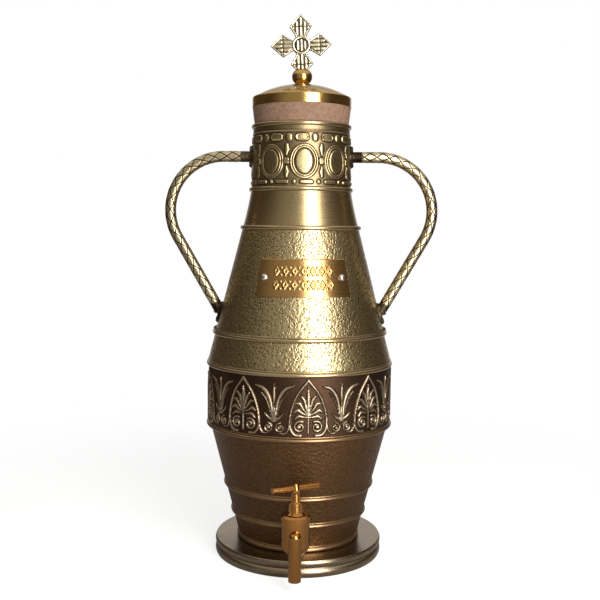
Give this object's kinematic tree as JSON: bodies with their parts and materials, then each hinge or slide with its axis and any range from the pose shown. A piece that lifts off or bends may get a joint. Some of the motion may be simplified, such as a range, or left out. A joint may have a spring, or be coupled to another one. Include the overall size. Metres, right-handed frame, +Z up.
{
  "type": "chrismatory",
  "caption": "Tall footed brass urn for holy oil, with a figured neck and belly, bow handles, a corked lid with a cross and a draw-off tap.",
  "frame": {"origin": "centre of the foot's underside", "axes": "+Z up along the vessel's axis, -Y towards the tap, X along the two handles"},
  "size_m": [0.2544, 0.2035, 0.5011],
  "materials": {
    "smooth_brass": "satin brass with a soft brown patina",
    "hammered_brass": "hammered brass, dark patina in the dimples",
    "figured_brass": "embossed brass, dark ground and rubbed high lines",
    "hoop_brass": "rubbed brass beading",
    "handle_brass": "twisted brass with dark grooves",
    "plate_brass": "polished brass sheet",
    "polished_brass": "polished yellow brass",
    "cross_brass": "aged brass with dark grooves",
    "steel": "bright steel",
    "cork": "fine pressed cork",
    "gasket": "oiled leather"
  },
  "bodies": {
    "vessel": {"foot": "smooth_brass", "foot_underplate": "smooth_brass", "vessel_bottom": "smooth_brass", "lower_wall": "hammered_brass", "belly_band": "figured_brass", "belly_frieze": "figured_brass", "upper_wall": "hammered_brass", "shoulder_wall": "smooth_brass", "neck_band": "figured_brass", "base_hoop": "hoop_brass", "lower_hoop_first": "hoop_brass", "lower_hoop_second": "hoop_brass", "belly_hoop_bottom": "hoop_brass", "belly_hoop_top": "hoop_brass", "upper_hoop": "hoop_brass", "shoulder_hoop": "hoop_brass", "neck_hoop": "hoop_brass", "mouth_ring": "hoop_brass", "handle_right": "handle_brass", "handle_left": "handle_brass", "rosettes_right": "handle_brass", "rosettes_left": "handle_brass", "handle_screws": "steel", "nameplate": "plate_brass", "nameplate_rivets": "steel", "tap_body": "polished_brass", "tap_saddle": "polished_brass", "tap_inner_saddle": "polished_brass", "tap_lock_nut": "polished_brass", "tap_outer_gasket": "gasket", "tap_inner_gasket": "gasket"},
    "stopper": {"cork_stopper": "cork", "lid_cap": "polished_brass", "knop": "polished_brass", "cross": "cross_brass", "stopper_rod": "polished_brass", "stopper_washer": "polished_brass", "stopper_nut": "polished_brass"},
    "tap_key": {"tap_key": "polished_brass", "tap_t_bar": "polished_brass", "key_washer": "polished_brass", "key_nut": "polished_brass"}
  },
  "joints": [
    {"name": "stopper_lift", "type": "slide", "parent": "vessel", "child": "stopper", "axis": [0, 0, 1], "range_m": [0, 0.06]},
    {"name": "tap_key_turn", "type": "hinge", "parent": "vessel", "child": "tap_key", "pos_m": [0, -0.09736, 0.046], "axis": [0, 0, 1], "continuous": true}
  ]
}
